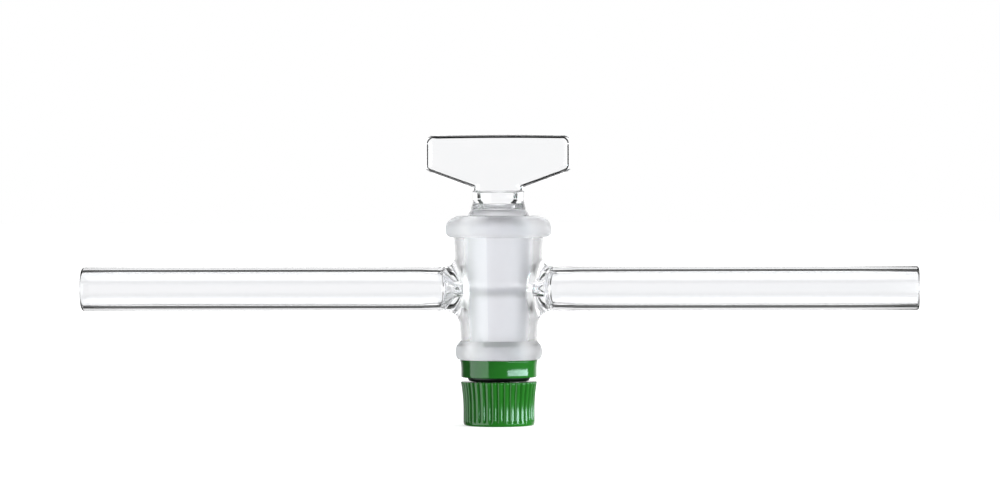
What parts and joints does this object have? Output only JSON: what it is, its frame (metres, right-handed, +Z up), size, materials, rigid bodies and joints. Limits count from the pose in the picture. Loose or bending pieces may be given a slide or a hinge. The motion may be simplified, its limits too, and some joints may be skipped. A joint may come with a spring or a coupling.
{
  "type": "glass stopcock",
  "caption": "Straight-bore glass stopcock: a ground key with a flat handle turns in a tapered barrel with side arms, held by a washer, an O-ring and a screwed ring nut.",
  "frame": {"origin": "centre of the ring nut's foot, on the key's axis, where the stopcock stands", "axes": "+Z up along the key's axis to the handle, +X along the side arms, +Y to the back"},
  "size_m": [0.1716, 0.0216, 0.0595],
  "materials": {
    "barrel_glass": "fire-polished borosilicate glass with a finely ground socket",
    "key_glass": "pressed borosilicate glass, clear at the handle and finely ground on the cone",
    "washer_plastic": "turned or moulded polypropylene, smooth",
    "ring_rubber": "moulded elastomer",
    "nut_plastic": "injection-moulded polypropylene, glossy, with grip ribs"
  },
  "bodies": {
    "barrel": {"barrel": "barrel_glass"},
    "key": {"key": "key_glass", "slip_washer": "washer_plastic"},
    "o_ring": {"o_ring": "ring_rubber"},
    "ring_nut": {"ring_nut": "nut_plastic"}
  },
  "joints": [
    {"name": "key_turn", "type": "hinge", "parent": "barrel", "child": "key", "pos_m": [0, 0, 0.028], "axis": [0, 0, 1], "continuous": true},
    {"name": "nut_travel", "type": "slide", "parent": "key", "child": "o_ring", "axis": [0, 0, -1], "range_m": [0, 0.006]},
    {"name": "nut_spin", "type": "hinge", "parent": "o_ring", "child": "ring_nut", "pos_m": [0, 0, 0], "axis": [0, 0, -1], "range_deg": [0, 1080]}
  ],
  "couplings": [
    {"joint": "nut_spin", "follows": "nut_travel", "rad_per_m": 3141.6}
  ]
}
